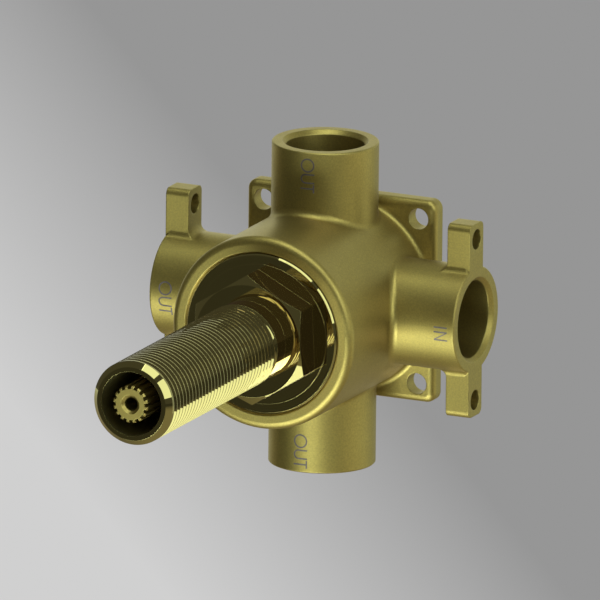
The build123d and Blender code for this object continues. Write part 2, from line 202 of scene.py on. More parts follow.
def add(tree, kind, numbers=(), **settings):
    """A new node: settings are its own choices, numbers are (input name, value) pairs."""
    node = tree.nodes.new(kind)
    for key, value in settings.items():
        setattr(node, key, value)
    for key, value in numbers:
        if hasattr(value, "is_output"):
            tree.links.new(value, node.inputs[key])
        else:
            node.inputs[key].default_value = value
    return node


def maths(tree, operation, *values):
    """A Math node's result. Each value is a number or another node's output."""
    node = add(tree, "ShaderNodeMath", list(enumerate(values)), operation=operation)
    return node.outputs[0]


def blended(tree, share, first, second, blend="MIX"):
    """Two colours mixed by a share. A colour Mix node keeps its colours at sockets 6 and 7."""
    node = add(tree, "ShaderNodeMix", data_type="RGBA", blend_type=blend)
    for place, value in ((0, share), (6, first), (7, second)):
        if hasattr(value, "is_output"):
            tree.links.new(value, node.inputs[place])
        else:
            node.inputs[place].default_value = value
    return node.outputs[2]


def spread(tree, value, low, high, new_low, new_high):
    """A value stretched from one range to another and held inside it."""
    node = add(tree, "ShaderNodeMapRange", [
        ("Value", value), ("From Min", low), ("From Max", high),
        ("To Min", new_low), ("To Max", new_high)])
    return node.outputs[0]


print("node helpers ready")

# %% Define the helpers for noise and for groups
noise_middle = 0.5


def noise(tree, place, scale, detail, roughness):
    """A Noise node's value: 0 to 1, and mostly near its middle."""
    node = add(tree, "ShaderNodeTexNoise", [
        ("Vector", place), ("Scale", scale), ("Detail", detail), ("Roughness", roughness)])
    return node.outputs[0]


def off_middle(tree, value, amount):
    """How far noise is from its middle, times an amount: as often below zero as above."""
    return maths(tree, "MULTIPLY", maths(tree, "SUBTRACT", value, noise_middle), amount)


def new_effect(name, inputs, outputs):
    """An empty node group with named float, colour or vector sockets, and its two end nodes."""
    group = bpy.data.node_groups.new(name, "ShaderNodeTree")
    for label, kind, value in inputs:
        socket_type = "NodeSocket" + kind
        socket = group.interface.new_socket(label, in_out="INPUT", socket_type=socket_type)
        socket.default_value = value
    for label, kind in outputs:
        group.interface.new_socket(label, in_out="OUTPUT", socket_type="NodeSocket" + kind)
    return group, group.nodes.new("NodeGroupInput").outputs, group.nodes.new("NodeGroupOutput").inputs


print("noise and group helpers ready")

# %% [markdown]
# The room behind
#
# The photograph's backdrop is pale on the left and darker on the right, and brushed or blasted
# metal picks that up along its far edges. The world is dark in front of the valve and turns to
# that grey behind it, by the direction in which a ray leaves. A ray that has met metal twice
# sees a slightly paler room, because brass seen in brass would be black otherwise. A camera that
# looks out level, over the floor's far edge, sees a plain grey.

# %% Give the world its pale back
room_pale_left = tone(245, 245, 245)
room_pale_right = tone(164, 164, 164)
room_tone_twice = tone(78, 73, 70)
room_seen = tone(168, 168, 168)
# Each pair is where a change starts and ends, as that part of a direction, from -1 to 1.
pale_from_left = (-0.5, 0.5)
pale_from_front = (0.30, 0.85)
pale_from_low = (0.15, 0.60)
# The share of the pale back that is left high up
pale_left_above = 0.2
# A ray's depth counts the surfaces it has met, so this lies between one and two.
above_one_meeting = 1.5
world_tree = world.node_tree
direction = add(world_tree, "ShaderNodeTexCoord")
heading = add(world_tree, "ShaderNodeSeparateXYZ", [(0, direction.outputs["Generated"])])
to_right = spread(world_tree, heading.outputs["X"], *pale_from_left, 0, 1)
to_back = spread(world_tree, heading.outputs["Y"], *pale_from_front, 0, 1)
upwards = spread(world_tree, heading.outputs["Z"], *pale_from_low, 1, pale_left_above)
pale = blended(world_tree, to_right, room_pale_left, room_pale_right)
back_share = maths(world_tree, "MULTIPLY", to_back, upwards)
room_path = add(world_tree, "ShaderNodeLightPath")
met_twice = maths(world_tree, "GREATER_THAN", room_path.outputs["Ray Depth"], above_one_meeting)
dark_room = blended(world_tree, met_twice, room_tone, room_tone_twice)
mirrored_room = blended(world_tree, back_share, dark_room, pale)
seen_room = blended(world_tree, room_path.outputs["Is Camera Ray"], mirrored_room, room_seen)
world_tree.links.new(seen_room, world_tree.nodes["Background"].inputs["Color"])
print("world nodes:", len(world_tree.nodes))

# %% [markdown]
# The floor
#
# The valve is made to be fixed to a wall, so it keeps its own frame and hangs above a plain
# floor. The photograph's grey runs from darker at the upper right to paler at the lower left.
# The camera sees that grey mostly as a light of its own, which the lamps can't clip, mixed with
# a share of real floor that keeps the shadow. Metal sees the same grey behind the valve, and
# the dark of the room in front of it, where a studio's floor isn't lit.

# %% Work out where the grey starts and ends
floor_drop = 1.70
floor_reach = 14.0
grey_dark = tone(150, 150, 150)
grey_pale = tone(208, 208, 208)
# The ramp's two ends, in millimetres of picture from its centre along the ramp
ramp_start = -5.6 * mm
ramp_end = 69.9 * mm
# How much the ramp runs to the left and how much down the picture
ramp_left = 0.77
ramp_down = 0.64
# The floor runs away from the camera, so a step up the picture is a longer step on the floor.
away = Vector((-to_camera.x, -to_camera.y, 0)).normalized()
ramp_line = -level_right * ramp_left - away * ramp_down * math.sin(view_elevation)
floor_centre = aim - to_camera * (aim.z + floor_drop) / to_camera.z
centre_offset = floor_centre.dot(ramp_line)
print("floor centre in the picture:", [round(part, 3) for part in floor_centre])

# %% Build the floor's material
# Share of what the camera sees that is the floor's own light
own_light = 0.85
own_strength = 1.155
# What metal sees: a dark floor far in front, a dim one below, and the picture's grey behind.
# Each pair is a world Y in metres where a change starts and ends.
dim_change = (-4.0, -2.0)
left_dim_change = (-0.5, 1.5)
grey_change = (1.5, 5.0)
# To the left of the valve the floor is as dark as in front. This pair is a world X.
dark_left_change = (-2.5, 0.0)
floor_dark = tone(60, 56, 52)
floor_dim = tone(140, 127, 113)

floor_material = bpy.data.materials.new("studio_floor")
floor_material.use_nodes = True
floor_tree = floor_material.node_tree
floor_tree.nodes.clear()
place = add(floor_tree, "ShaderNodeNewGeometry")
along = add(floor_tree, "ShaderNodeVectorMath", [(0, place.outputs["Position"]), (1, ramp_line)],
            operation="DOT_PRODUCT")
ramp_ends = (centre_offset + ramp_start, centre_offset + ramp_end)
ramp = spread(floor_tree, along.outputs["Value"], *ramp_ends, 0, 1)
greys = blended(floor_tree, ramp, grey_dark, grey_pale)
parts = add(floor_tree, "ShaderNodeSeparateXYZ", [(0, place.outputs["Position"])])
below = spread(floor_tree, parts.outputs["Y"], *dim_change, 0, 1)
behind = spread(floor_tree, parts.outputs["Y"], *grey_change, 0, 1)
not_left = spread(floor_tree, parts.outputs["X"], *dark_left_change, 0, 1)
not_front = spread(floor_tree, parts.outputs["Y"], *left_dim_change, 0, 1)
lit_side = maths(floor_tree, "MAXIMUM", not_left, not_front)
dim_share = maths(floor_tree, "MULTIPLY", below, lit_side)
mirrored = blended(floor_tree, behind, blended(floor_tree, dim_share, floor_dark, floor_dim), greys)
rays = add(floor_tree, "ShaderNodeLightPath")
mirror_ray = maths(floor_tree, "MAXIMUM",
                   rays.outputs["Is Glossy Ray"], rays.outputs["Is Transmission Ray"])
real_floor = add(floor_tree, "ShaderNodeBsdfDiffuse", [("Color", greys)])
glow = add(floor_tree, "ShaderNodeEmission", [("Color", greys), ("Strength", own_strength)])
mirror_glow = add(floor_tree, "ShaderNodeEmission", [("Color", mirrored), ("Strength", 1.0)])
camera_share = maths(floor_tree, "MULTIPLY", rays.outputs["Is Camera Ray"], own_light)
seen = add(floor_tree, "ShaderNodeMixShader", [
    (0, camera_share), (1, real_floor.outputs[0]), (2, glow.outputs[0])])
whole = add(floor_tree, "ShaderNodeMixShader", [
    (0, mirror_ray), (1, seen.outputs[0]), (2, mirror_glow.outputs[0])])
add(floor_tree, "ShaderNodeOutputMaterial", [("Surface", whole.outputs[0])])
print("floor material nodes:", len(floor_tree.nodes))

# %% Lay the floor
floor_mesh = bpy.data.meshes.new("floor")
floor_corners = [(-floor_reach, -floor_reach), (floor_reach, -floor_reach),
                 (floor_reach, floor_reach), (-floor_reach, floor_reach)]
floor_mesh.from_pydata([(x, y, -floor_drop) for x, y in floor_corners], [], [(0, 1, 2, 3)])
floor_mesh.materials.append(floor_material)
floor = bpy.data.objects.new("floor", floor_mesh)
bpy.context.scene.collection.objects.link(floor)
print("floor at z =", -floor_drop)

# %% [markdown]
# Fine grain
#
# A forging is blasted with fine grit after it is pressed, so its skin is an even satin of tiny
# pits. Painting it with an image would show seams on the ports, so the grain is two layers of
# noise in the object's own coordinates: fine pits for the surface, and broader patches where
# the skin is a little smoother. The pits also get a painted shade in the colour, and the peaks between
# them a painted sheen.
# Plastics and rubber use the same group with other values.

# %% Build the fine grain group
patch_scale_share = 0.12
patch_height_share = 0.8
# The noise's range that shows, and the painted shade of its deepest pits and painted sheen of its highest
# peaks
pit_range = (0.3, 0.7)
pit_shades = (0.88, 1.08)

grain_group, given, result = new_effect("fine_grain", [
    ("Grain Size", "Float", 0.3), ("Roughness", "Float", 0.4), ("Roughness Spread", "Float", 0.05),
], [("Height", "Float"), ("Roughness", "Float"), ("Shade", "Float")])
where = add(grain_group, "ShaderNodeTexCoord")
per_metre = maths(grain_group, "DIVIDE", 1.0 / mm, given["Grain Size"])
pits = noise(grain_group, where.outputs["Object"], per_metre, 2.0, 0.6)
patch_scale = maths(grain_group, "MULTIPLY", per_metre, patch_scale_share)
patches = noise(grain_group, where.outputs["Object"], patch_scale, 2.0, 0.5)
patch_height = maths(grain_group, "MULTIPLY", patches, patch_height_share)
grain_group.links.new(maths(grain_group, "ADD", pits, patch_height), result["Height"])
# Shade is a painted shade in the pits and a painted sheen on the peaks, for a metal's colour.
grain_group.links.new(spread(grain_group, pits, *pit_range, *pit_shades), result["Shade"])
change = off_middle(grain_group, patches, given["Roughness Spread"])
grain_group.links.new(maths(grain_group, "ADD", change, given["Roughness"]), result["Roughness"])
print("group:", grain_group.name)

# %% [markdown]
# Tone drift
#
# Bare brass is never one even colour: handling and air darken it in broad, faint patches. A
# large, slow noise mixes the clean colour towards a browner one.

# %% Build the tone drift group
# The noise's range from clean to aged
aged_range = (0.35, 0.70)

drift_group, given, result = new_effect("tone_drift", [
    ("Color", "Color", tone(205, 200, 108)), ("Aged Color", "Color", tone(170, 150, 80)),
    ("Amount", "Float", 0.3), ("Patch Size", "Float", 12.0),
], [("Color", "Color")])
where = add(drift_group, "ShaderNodeTexCoord")
cloud_scale = maths(drift_group, "DIVIDE", 1.0 / mm, given["Patch Size"])
clouds = noise(drift_group, where.outputs["Object"], cloud_scale, 4.0, 0.55)
aged = spread(drift_group, clouds, *aged_range, 0, 1)
aged_share = maths(drift_group, "MULTIPLY", aged, given["Amount"])
drifted = blended(drift_group, aged_share, given["Color"], given["Aged Color"])
drift_group.links.new(drifted, result["Color"])
print("group:", drift_group.name)

# %% [markdown]
# Turning marks
#
# The bonnet and the spindle are turned on a lathe, which leaves fine rings round their axis: on
# a cylinder the rings follow one another along the axis, and on a flat face from the middle
# outwards. Noise that only looks at those two distances gives both at once. Polishing wheels
# don't reach into a bore, so inside a given radius the wall stays as the drill left it.

# %% Build the turning marks group
turning_group, given, result = new_effect("turning_marks", [
    ("Ring Spacing", "Float", 0.1), ("Roughness", "Float", 0.2), ("Roughness Spread", "Float", 0.1),
    ("Bore Radius", "Float", 0.0), ("Bore Roughness", "Float", 0.4),
], [("Height", "Float"), ("Roughness", "Float")])
where = add(turning_group, "ShaderNodeTexCoord")
axes = add(turning_group, "ShaderNodeSeparateXYZ", [(0, where.outputs["Object"])])
across = maths(turning_group, "MULTIPLY", axes.outputs["X"], axes.outputs["X"])
upright = maths(turning_group, "MULTIPLY", axes.outputs["Z"], axes.outputs["Z"])
radius = maths(turning_group, "SQRT", maths(turning_group, "ADD", across, upright))
ring_place = add(turning_group, "ShaderNodeCombineXYZ", [("X", radius), ("Y", axes.outputs["Y"])])
ring_scale = maths(turning_group, "DIVIDE", 1.0 / mm, given["Ring Spacing"])
rings = noise(turning_group, ring_place.outputs[0], ring_scale, 3.0, 0.7)
turning_group.links.new(rings, result["Height"])
change = off_middle(turning_group, rings, given["Roughness Spread"])
bore_wall = maths(turning_group, "MULTIPLY", given["Bore Radius"], mm)
in_bore = maths(turning_group, "LESS_THAN", radius, bore_wall)
rougher = maths(turning_group, "SUBTRACT", given["Bore Roughness"], given["Roughness"])
bore_change = maths(turning_group, "MULTIPLY", in_bore, rougher)
outer_roughness = maths(turning_group, "ADD", change, given["Roughness"])
turning_group.links.new(maths(turning_group, "ADD", outer_roughness, bore_change), result["Roughness"])
print("group:", turning_group.name)

# %% [markdown]
# Soft edges
#
# No machined edge is perfectly sharp: a tiny rounding catches the light as a thin bright line.
# The model's small edges are sharp, and rounding each one in the mesh would cost many faces.
# The Bevel node bends the normal near an edge instead. Where the bent normal differs from the
# real one, the same group gives a mask of edges, which are mixed a little brighter in colour:
# partly real rubbing, partly a painted highlight.

# %% Build the soft edges group
# The agreement of the two normals, as a cosine, where an edge starts and where it is full
edge_range = (0.995, 0.90)

# The edge mask, times its wear input, mixes edges towards a brighter tone: partly real wear, partly a
# painted highlight.
edge_group, given, result = new_effect("soft_edges", [
    ("Radius", "Float", 0.3), ("Wear", "Float", 0.5),
], [("Normal", "Vector"), ("Edge", "Float")])
metres = maths(edge_group, "MULTIPLY", given["Radius"], mm)
rounded = add(edge_group, "ShaderNodeBevel", [("Radius", metres)], samples=6)
surface = add(edge_group, "ShaderNodeNewGeometry")
agreement = add(edge_group, "ShaderNodeVectorMath", [
    (0, rounded.outputs[0]), (1, surface.outputs["Normal"])], operation="DOT_PRODUCT")
edge_mask = spread(edge_group, agreement.outputs["Value"], *edge_range, 0, 1)
edge_group.links.new(rounded.outputs[0], result["Normal"])
edge_group.links.new(maths(edge_group, "MULTIPLY", edge_mask, given["Wear"]), result["Edge"])
print("group:", edge_group.name)

# %% [markdown]
# Brass and steel finishes
#
# All brass here is one alloy. What differs is the skin: blasted and satin on the forging,
# mirror bright on the bonnet, and turned on the spindle. One function makes a metal from a base
# colour and the groups, and each call gives its own values. Brass mirrored in brass would turn
# green, because each meeting with the metal takes more blue. On the photograph it turns brown,
# so a glossy ray, which comes from other metal, sees a browner tone of the same finish.

# %% Define the metal maker
# A rubbed edge is smoother by this much of roughness.
edge_smoothing = 0.12


def effect(tree, group, **numbers):
    """One of the node groups placed in a material. Underscores stand for spaces in socket names."""
    node = tree.nodes.new("ShaderNodeGroup")
    node.node_tree = group
    for key, value in numbers.items():
        node.inputs[key.replace("_", " ")].default_value = value
    return node


def new_material(name):
    """The material of this name with an empty tree, a Principled shader and an output."""
    material = bpy.data.materials.get(name) or bpy.data.materials.new(name)
    material.use_nodes = True
    tree = material.node_tree
    tree.nodes.clear()
    shader = add(tree, "ShaderNodeBsdfPrincipled")
    add(tree, "ShaderNodeOutputMaterial", [("Surface", shader.outputs[0])])
    return material, tree, shader


def bumped(tree, distance, height, *normal):
    """A normal bent by a height. The distance is the height's full range in millimetres."""
    numbers = [("Strength", 1.0), ("Distance", distance * mm), ("Height", height)]
    return add(tree, "ShaderNodeBump", numbers + [("Normal", bent) for bent in normal]).outputs[0]


def dress(tree, shader, colour, roughness, normal):
    """Leads a finish's changing colour, roughness and normal to its shader."""
    for label, value in (("Base Color", colour), ("Roughness", roughness), ("Normal", normal)):
        tree.links.new(value, shader.inputs[label])


def metal(name, colours, marks, bump_height, edge_radius, edge_wear_and_highlight, drift):
    """A bare metal. marks is the group that gives its height and roughness, and its values."""
    material, tree, shader = new_material(name)
    clean, aged_tone, bright, mirrored = colours
    group, numbers = marks
    surface_marks = effect(tree, group, **numbers)
    tones = effect(tree, drift_group, Color=clean, Aged_Color=aged_tone, Amount=drift, Patch_Size=14.0)
    edges = effect(tree, edge_group, Radius=edge_radius, Wear=edge_wear_and_highlight)
    path = add(tree, "ShaderNodeLightPath")
    # Edges turn to the brighter tone: partly real rubbing, partly a painted highlight.
    direct = blended(tree, edges.outputs["Edge"], tones.outputs["Color"], bright)
    # The grain's pits get a painted shade in the colour, and its peaks a painted sheen.
    if "Shade" in surface_marks.outputs:
        direct = blended(tree, 1.0, direct, surface_marks.outputs["Shade"], "MULTIPLY")
    colour = blended(tree, path.outputs["Is Glossy Ray"], direct, mirrored)
    worn = maths(tree, "MULTIPLY", edges.outputs["Edge"], -edge_smoothing)
    roughness = maths(tree, "ADD", surface_marks.outputs["Roughness"], worn)
    normal = bumped(tree, bump_height, surface_marks.outputs["Height"], edges.outputs["Normal"])
    shader.inputs["Metallic"].default_value = 1.0
    dress(tree, shader, colour, roughness, normal)
    return material


print("metal maker ready")

# %% Make the metals
# Each finish has a clean tone, an aged one, one for rubbed edges, which is partly a painted highlight,
# and one for where it's mirrored.
brass_tones = (tone(211, 202, 113), tone(178, 152, 84), tone(222, 220, 136), tone(166, 153, 128))
bright_tones = (tone(206, 205, 130), tone(190, 178, 112), tone(222, 220, 146), tone(199, 180, 144))
steel_tones = (tone(172, 174, 176), tone(140, 138, 134), tone(200, 202, 204), tone(172, 174, 176))
blasted_marks = dict(Grain_Size=0.42, Roughness=0.45, Roughness_Spread=0.08)
polished_marks = dict(
    Ring_Spacing=0.25, Roughness=0.03, Roughness_Spread=0.01, Bore_Radius=8.005, Bore_Roughness=0.45)
turned_marks = dict(Ring_Spacing=0.12, Roughness=0.42, Roughness_Spread=0.12)
drawn_marks = dict(Ring_Spacing=0.10, Roughness=0.30, Roughness_Spread=0.12)
forged_brass = metal(
    "forged_brass", brass_tones, (grain_group, blasted_marks),
    bump_height=0.010, edge_radius=0.35, edge_wear_and_highlight=0.45, drift=0.15)
polished_brass = metal(
    "polished_brass", bright_tones, (turning_group, polished_marks),
    bump_height=0.0001, edge_radius=0.05, edge_wear_and_highlight=0.0, drift=0.15)
spindle_brass = metal(
    "spindle_brass", brass_tones, (turning_group, turned_marks),
    bump_height=0.003, edge_radius=0.12, edge_wear_and_highlight=0.40, drift=0.30)
spring_steel = metal(
    "spring_steel", steel_tones, (turning_group, drawn_marks),
    bump_height=0.002, edge_radius=0.10, edge_wear_and_highlight=0.30, drift=0.30)
metals = (forged_brass, polished_brass, spindle_brass, spring_steel)
print("metals:", [material.name for material in metals])

# %% [markdown]
# Plastics, ceramic and rubber
#
# The pieces inside the cartridge are moulded plastic, lapped ceramic and rubber. They hide at
# rest, but each still has its own grain and sheen, for an exploded or cut-away view.

# %% Define the maker for moulded pieces and make them


def moulded(name, clean, aged_tone, grain_size, roughness, bump_height, edge_radius, sheen_level):
    """A plastic, ceramic or rubber with grain, soft edges and a faint change of tone."""
    material, tree, shader = new_material(name)
    grain = effect(tree, grain_group, Grain_Size=grain_size, Roughness=roughness, Roughness_Spread=0.10)
    tones = effect(tree, drift_group, Color=clean, Aged_Color=aged_tone, Amount=0.5, Patch_Size=8.0)
    edges = effect(tree, edge_group, Radius=edge_radius)
    normal = bumped(tree, bump_height, grain.outputs["Height"], edges.outputs["Normal"])
    dress(tree, shader, tones.outputs["Color"], grain.outputs["Roughness"], normal)
    shader.inputs["Specular IOR Level"].default_value = sheen_level
    return material


white_plastic = moulded(
    "white_plastic", tone(228, 226, 218), tone(206, 202, 190),
    grain_size=0.20, roughness=0.42, bump_height=0.004, edge_radius=0.20, sheen_level=0.5)
grey_plastic = moulded(
    "grey_plastic", tone(104, 106, 108), tone(84, 86, 88),
    grain_size=0.20, roughness=0.48, bump_height=0.005, edge_radius=0.20, sheen_level=0.5)
disc_ceramic = moulded(
    "disc_ceramic", tone(232, 228, 214), tone(214, 208, 190),
    grain_size=0.08, roughness=0.22, bump_height=0.001, edge_radius=0.10, sheen_level=0.6)
seal_rubber = moulded(
    "seal_rubber", tone(34, 34, 35), tone(48, 46, 44),
    grain_size=0.15, roughness=0.62, bump_height=0.006, edge_radius=0.15, sheen_level=0.4)
moulded_finishes = (white_plastic, grey_plastic, disc_ceramic, seal_rubber)
print("moulded:", [material.name for material in moulded_finishes])

# %% [markdown]
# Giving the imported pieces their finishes
#
# The model's own shapes are right for every piece except the bonnet, which needs its thread. The
# others stay, and the finish goes into their material slots. Pieces not named are rubber seals.

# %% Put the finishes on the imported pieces
finishes = {
    "valve_body": forged_brass, "bonnet": polished_brass,
    "spindle": spindle_brass, "snap_ring": spring_steel,
    "slip_ring": white_plastic, "thrust_washer": white_plastic, "disc_carrier": white_plastic,
    "cartridge_base": grey_plastic, "cartridge_shell": grey_plastic,
    "moving_disc": disc_ceramic, "fixed_disc": disc_ceramic,
}
for name, piece in nodes.items():
    piece.data.materials.clear()
    piece.data.materials.append(finishes.get(name, seal_rubber))
print("finishes on", len(nodes), "pieces")

# %% [markdown]
# The bonnet's sizes
#
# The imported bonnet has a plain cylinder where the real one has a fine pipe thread, half an inch
# of the parallel kind. A texture can't give the thread's broken outline, so a new bonnet is
# built with the real helix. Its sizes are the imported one's, apart from those that the mirror
# images on the photograph ask for. The collar's front and the washer face stand up to 0.8 mm
# further forward in the barrel's mouth, the washer's edge is straight, and the chamfers at the
# collar's front and the sleeve's end are smaller.

# %% Repeat the bonnet's sizes in millimetres
counterbore_r = 8.4
pilot_r = 17.9
collar_r = 19.95
collar_chamfer = 0.65
collar_front_chamfer = 0.40
washer_r = 17.4
hex_apothem = 14.0
hex_face_r = 13.95
hex_first_corner = 33
neck_r = 10.1475
thread_r = 10.4775
bearing_r = 6.0
bore_r = 8.0
bonnet_back = -41.82
thread_back = -44.22
collar_front = -49.70
washer_face = -49.80
thrust_face = -49.87
hex_front = -57.52
neck_front = -62.22
bearing_front = -73.07
sleeve_front = -124.62
end_chamfer = 1.35
packed_low, packed_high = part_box("bonnet")
print("packed bonnet from", round(packed_low.y / mm, 2), "to", round(packed_high.y / mm, 2))

# %% [markdown]
# One pitch of the thread
#
# The thread is a V of 55 degrees with a flat crest, as it is left when the rod's outside isn't
# cut, and a rounded root from the tool's tip. Straight flanks need no points between their ends.

# %% Work out one pitch of the thread
pitch = 1.814
thread_depth = 1.162
root_rounding = 0.249
root_shares = (-1, -0.5, 0, 0.5, 1)
flank_angle = math.radians(27.5)
steep = math.pi / 2 - flank_angle
root_half = root_rounding * math.sin(steep)
root_rise = root_rounding * (1 - math.cos(steep))
flank_run = (thread_depth - root_rise) * math.tan(flank_angle)
crest_half = pitch / 2 - root_half - flank_run
crest_middle = 0.25 * pitch
root_middle = 0.75 * pitch
# Each point is its place along the pitch, its depth, and in the root the lean of the face there.
one_pitch = [(crest_middle - crest_half, 0, None), (crest_middle + crest_half, 0, None)]
for share in root_shares:
    lean = steep * share
    sink = thread_depth - root_rounding * (1 - math.cos(lean))
    one_pitch.append((root_middle + root_rounding * math.sin(lean), sink, -lean))
print("flat crest in mm:", round(2 * crest_half, 2))

# %% [markdown]
# Columns round the axis
#
# The bonnet is built from columns, one every two degrees. The hexagon's corners fall on
# columns, and an extra column at each side of a corner rounds it very slightly, as polishing does.

# %% Choose the columns
column_step = 2
first_column = 1
corner_rounding = 0.25
# In degrees: how far the extra columns stand from a corner, and how near counts as the corner
corner_side = 0.51
corner_tolerance = 0.1
corners = [hex_first_corner + 60 * number for number in range(6)]
columns = list(range(first_column, 360, column_step))
columns += [corner + side for corner in corners for side in (-corner_side, corner_side)]
columns.sort()


def hex_radius(angle):
    """The hexagon's radius at an angle, with its corners slightly rounded."""
    from_corner = (angle - hex_first_corner) % 60
    from_face = math.radians(from_corner - 30)
    full = hex_apothem / math.cos(from_face)
    if min(from_corner, 60 - from_corner) < corner_tolerance:
        full -= corner_rounding * (1 / math.cos(math.radians(30)) - 1)
    return full


print("columns:", len(columns))

# %% [markdown]
# The bonnet's mesh
#
# Each ring is a list of (radius, y) per column. Plain rings close on themselves. A row of the
# thread moves forward by one pitch on its way round, so its end meets the row one pitch further
# on, which makes one real helix. At both ends the rows are held between the neck and the end
# chamfer, so the thread runs out as a cut one does.

# %% Work out the rings and the thread's rows
run_out = 1.6
end_fade = 0.5
turns_before_neck = 2
spare_turns = 3
thread_end = sleeve_front + end_chamfer


def plain_ring(radius, y):
    """The same radius and place at every column."""
    return [(radius, y)] * len(columns)


def thread_point(y, sink):
    """A thread point held between the neck and the end chamfer, where the grooves run out."""
    held = min(max(y, thread_end), neck_front)
    neck_share = min((neck_front - held) / run_out, 1)
    end_share = min((held - thread_end) / end_fade, 1)
    lowest = neck_r + (thread_r - thread_depth - neck_r) * neck_share
    lowest = max(lowest, thread_r - thread_depth * end_share)
    highest = min(neck_r + (neck_front - held), thread_r)
    return min(max(thread_r - sink, lowest), highest), held


turns = math.ceil((neck_front - thread_end) / pitch) + spare_turns
thread_rows = []
for turn in range(turns):
    for step, sink, lean in one_pitch:
        start = neck_front + (turns_before_neck - turn) * pitch - step
        thread_rows.append([thread_point(start - pitch * angle / 360, sink) for angle in columns])
hex_slope = math.tan(math.radians(30))
hex_side = [hex_radius(angle) for angle in columns]
rings_before = [
    plain_ring(counterbore_r, bonnet_back),
    plain_ring(pilot_r, bonnet_back), plain_ring(pilot_r, thread_back),
    plain_ring(collar_r - collar_chamfer, thread_back),
    plain_ring(collar_r, thread_back - collar_chamfer),
    plain_ring(collar_r, collar_front + collar_front_chamfer),
    plain_ring(collar_r - collar_front_chamfer, collar_front),
    plain_ring(washer_r, collar_front), plain_ring(washer_r, washer_face),
    [(radius, washer_face) for radius in hex_side],
    [(radius, hex_front + (radius - hex_face_r) * hex_slope) for radius in hex_side],
    plain_ring(hex_face_r, hex_front), plain_ring(neck_r, hex_front),
]
rings_after = [
    plain_ring(thread_r - end_chamfer, sleeve_front), plain_ring(bore_r, sleeve_front),
    plain_ring(bore_r, bearing_front), plain_ring(bearing_r, bearing_front),
    plain_ring(bearing_r, thrust_face), plain_ring(counterbore_r, thrust_face),
]
print("turns of thread:", turns, "rows:", len(thread_rows))

# %% Join the rings into one closed mesh
same_place = 1e-6
key_digits = 5
sines = [(math.cos(math.radians(angle)), math.sin(math.radians(angle))) for angle in columns]
points = []
known = {}


def point_number(column, radius, y):
    """The number of the mesh point at this place. Points at one place share a number."""
    key = (column, round(radius, key_digits), round(y, key_digits))
    if key not in known:
        known[key] = len(points)
        cosine, sine = sines[column]
        points.append((radius * cosine * mm, y * mm, radius * sine * mm))
    return known[key]


def number_ring(ring):
    """The point numbers of one ring."""
    return [point_number(column, radius, y) for column, (radius, y) in enumerate(ring)]


faces = []


def join(first, second, first_wrap, second_wrap):
    """Quads between two rings. The wraps are the numbers that follow each ring's last point."""
    first_loop = first + [first_wrap]
    second_loop = second + [second_wrap]
    for column in range(len(columns)):
        face = [first_loop[column], first_loop[column + 1], second_loop[column + 1], second_loop[column]]
        face = [number for place, number in enumerate(face) if number != face[place - 1]]
        if len(set(face)) > 2:
            faces.append(face)


before = [number_ring(ring) for ring in rings_before]
rows = [number_ring(row) for row in thread_rows]
# The lean of the groove's face at each point of the root that lies on its full form.
leans = {}
for place, (numbers, row) in enumerate(zip(rows, thread_rows)):
    step, sink, lean = one_pitch[place % len(one_pitch)]
    for column, (radius, y) in enumerate(row):
        full_form = abs(radius - thread_r + sink) < same_place and thread_end < y < neck_front
        if lean is not None and full_form:
            leans[numbers[column]] = (lean, column)
after = [number_ring(ring) for ring in rings_after]
for first, second in zip(before, before[1:]):
    join(first, second, first[0], second[0])
join(before[-1], rows[0], before[-1][0], rows[0][0])
points_a_turn = len(one_pitch)
for place in range(len(rows) - 1):
    first_end = rows[min(place + points_a_turn, len(rows) - 1)][0]
    second_end = rows[min(place + 1 + points_a_turn, len(rows) - 1)][0]
    join(rows[place], rows[place + 1], first_end, second_end)
join(rows[-1], after[0], rows[-1][0], after[0][0])
for first, second in zip(after, after[1:]):
    join(first, second, first[0], second[0])
join(after[-1], before[0], after[-1][0], before[0][0])
print("bonnet points:", len(points), "faces:", len(faces))

# %% [markdown]
# Shading the bonnet
#
# Smooth shading hides the facets, but the edges between the turned faces have to stay crisp, so
# every edge that bends by more than 25 degrees is marked sharp. In the thread the limit is 50
# degrees: the crests' edges stay sharp, while the rounded root, which is made of a few facets,
# is shaded as one curve. The root's points are also given the exact normals of a real groove,
# because averaged ones would spread each bright line into a band.

# %% Make the bonnet's object
sharp_angle = math.radians(25)
thread_sharp_angle = math.radians(50)
end_margin = 0.01


def finished_mesh(name, mesh_points, mesh_faces, material):
    """A smooth mesh with outward faces and sharp edges where it bends strongly."""
    mesh = bpy.data.meshes.new(name)
    mesh.from_pydata(mesh_points, [], mesh_faces)
    work = bmesh.new()
    work.from_mesh(mesh)
    bmesh.ops.recalc_face_normals(work, faces=work.faces)
    for face in work.faces:
        face.smooth = True
    for edge in work.edges:
        in_thread = all(
            thread_end + end_margin < vert.co.y / mm < neck_front - end_margin for vert in edge.verts)
        limit = thread_sharp_angle if in_thread else sharp_angle
        edge.smooth = len(edge.link_faces) == 2 and edge.calc_face_angle() < limit
    loose = sum(1 for edge in work.edges if len(edge.link_faces) != 2)
    work.to_mesh(mesh)
    work.free()
    mesh.materials.append(material)
    piece = bpy.data.objects.new(name, mesh)
    bpy.context.scene.collection.objects.link(piece)
    print(name, "faces:", len(mesh.polygons), "open edges:", loose)
    return piece


def lean_normal(lean, column):
    """The exact normal of the groove there: out from the axis, along it, and a little round it."""
    out = math.cos(lean)
    forward = math.sin(lean)
    turned = -forward * pitch / (2 * math.pi * thread_r)
    cosine, sine = sines[column]
    return Vector((out * cosine - turned * sine, -forward, out * sine + turned * cosine)).normalized()


